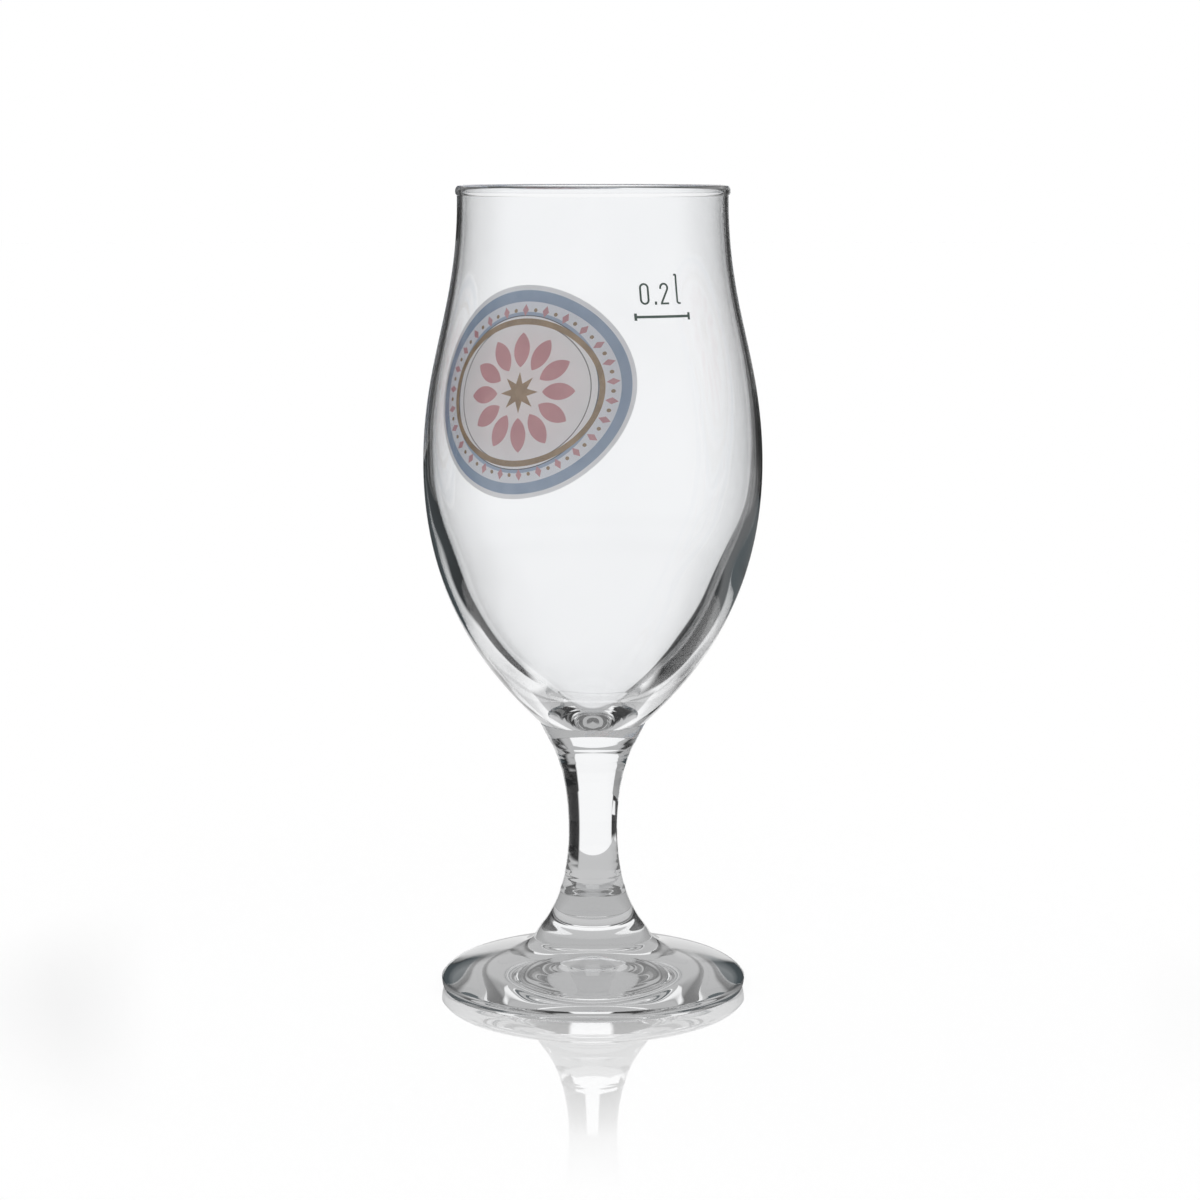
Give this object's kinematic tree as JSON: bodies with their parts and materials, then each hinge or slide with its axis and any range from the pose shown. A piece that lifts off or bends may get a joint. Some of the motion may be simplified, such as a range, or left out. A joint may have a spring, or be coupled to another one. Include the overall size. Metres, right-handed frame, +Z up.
{
  "type": "pilsner glass",
  "caption": "Stemmed tulip beer glass: thin-walled bowl with a thick base, waisted solid stem, flared round foot, fill mark on the front and a plain oval medallion decal on the back.",
  "frame": {"origin": "on the table, under the middle of the foot", "axes": "+Z up along the axis of the glass, -Y towards the viewer of the picture, +X to that viewer's right"},
  "size_m": [0.0694, 0.0696, 0.1655],
  "materials": {
    "clear_glass": "fire-polished clear soda-lime glass",
    "green_enamel": "fired dark green enamel",
    "white_enamel": "fired off-white enamel",
    "blue_enamel": "fired blue-grey enamel",
    "red_enamel": "fired red enamel",
    "gold_lustre": "fired gold lustre"
  },
  "bodies": {
    "root": {"foot": "clear_glass", "stem": "clear_glass", "bowl": "clear_glass", "fill_mark": "green_enamel", "decal_ground": "white_enamel", "decal_border": "blue_enamel", "decal_hoop": "gold_lustre", "decal_petals": "red_enamel", "decal_star": "gold_lustre"}
  },
  "joints": []
}
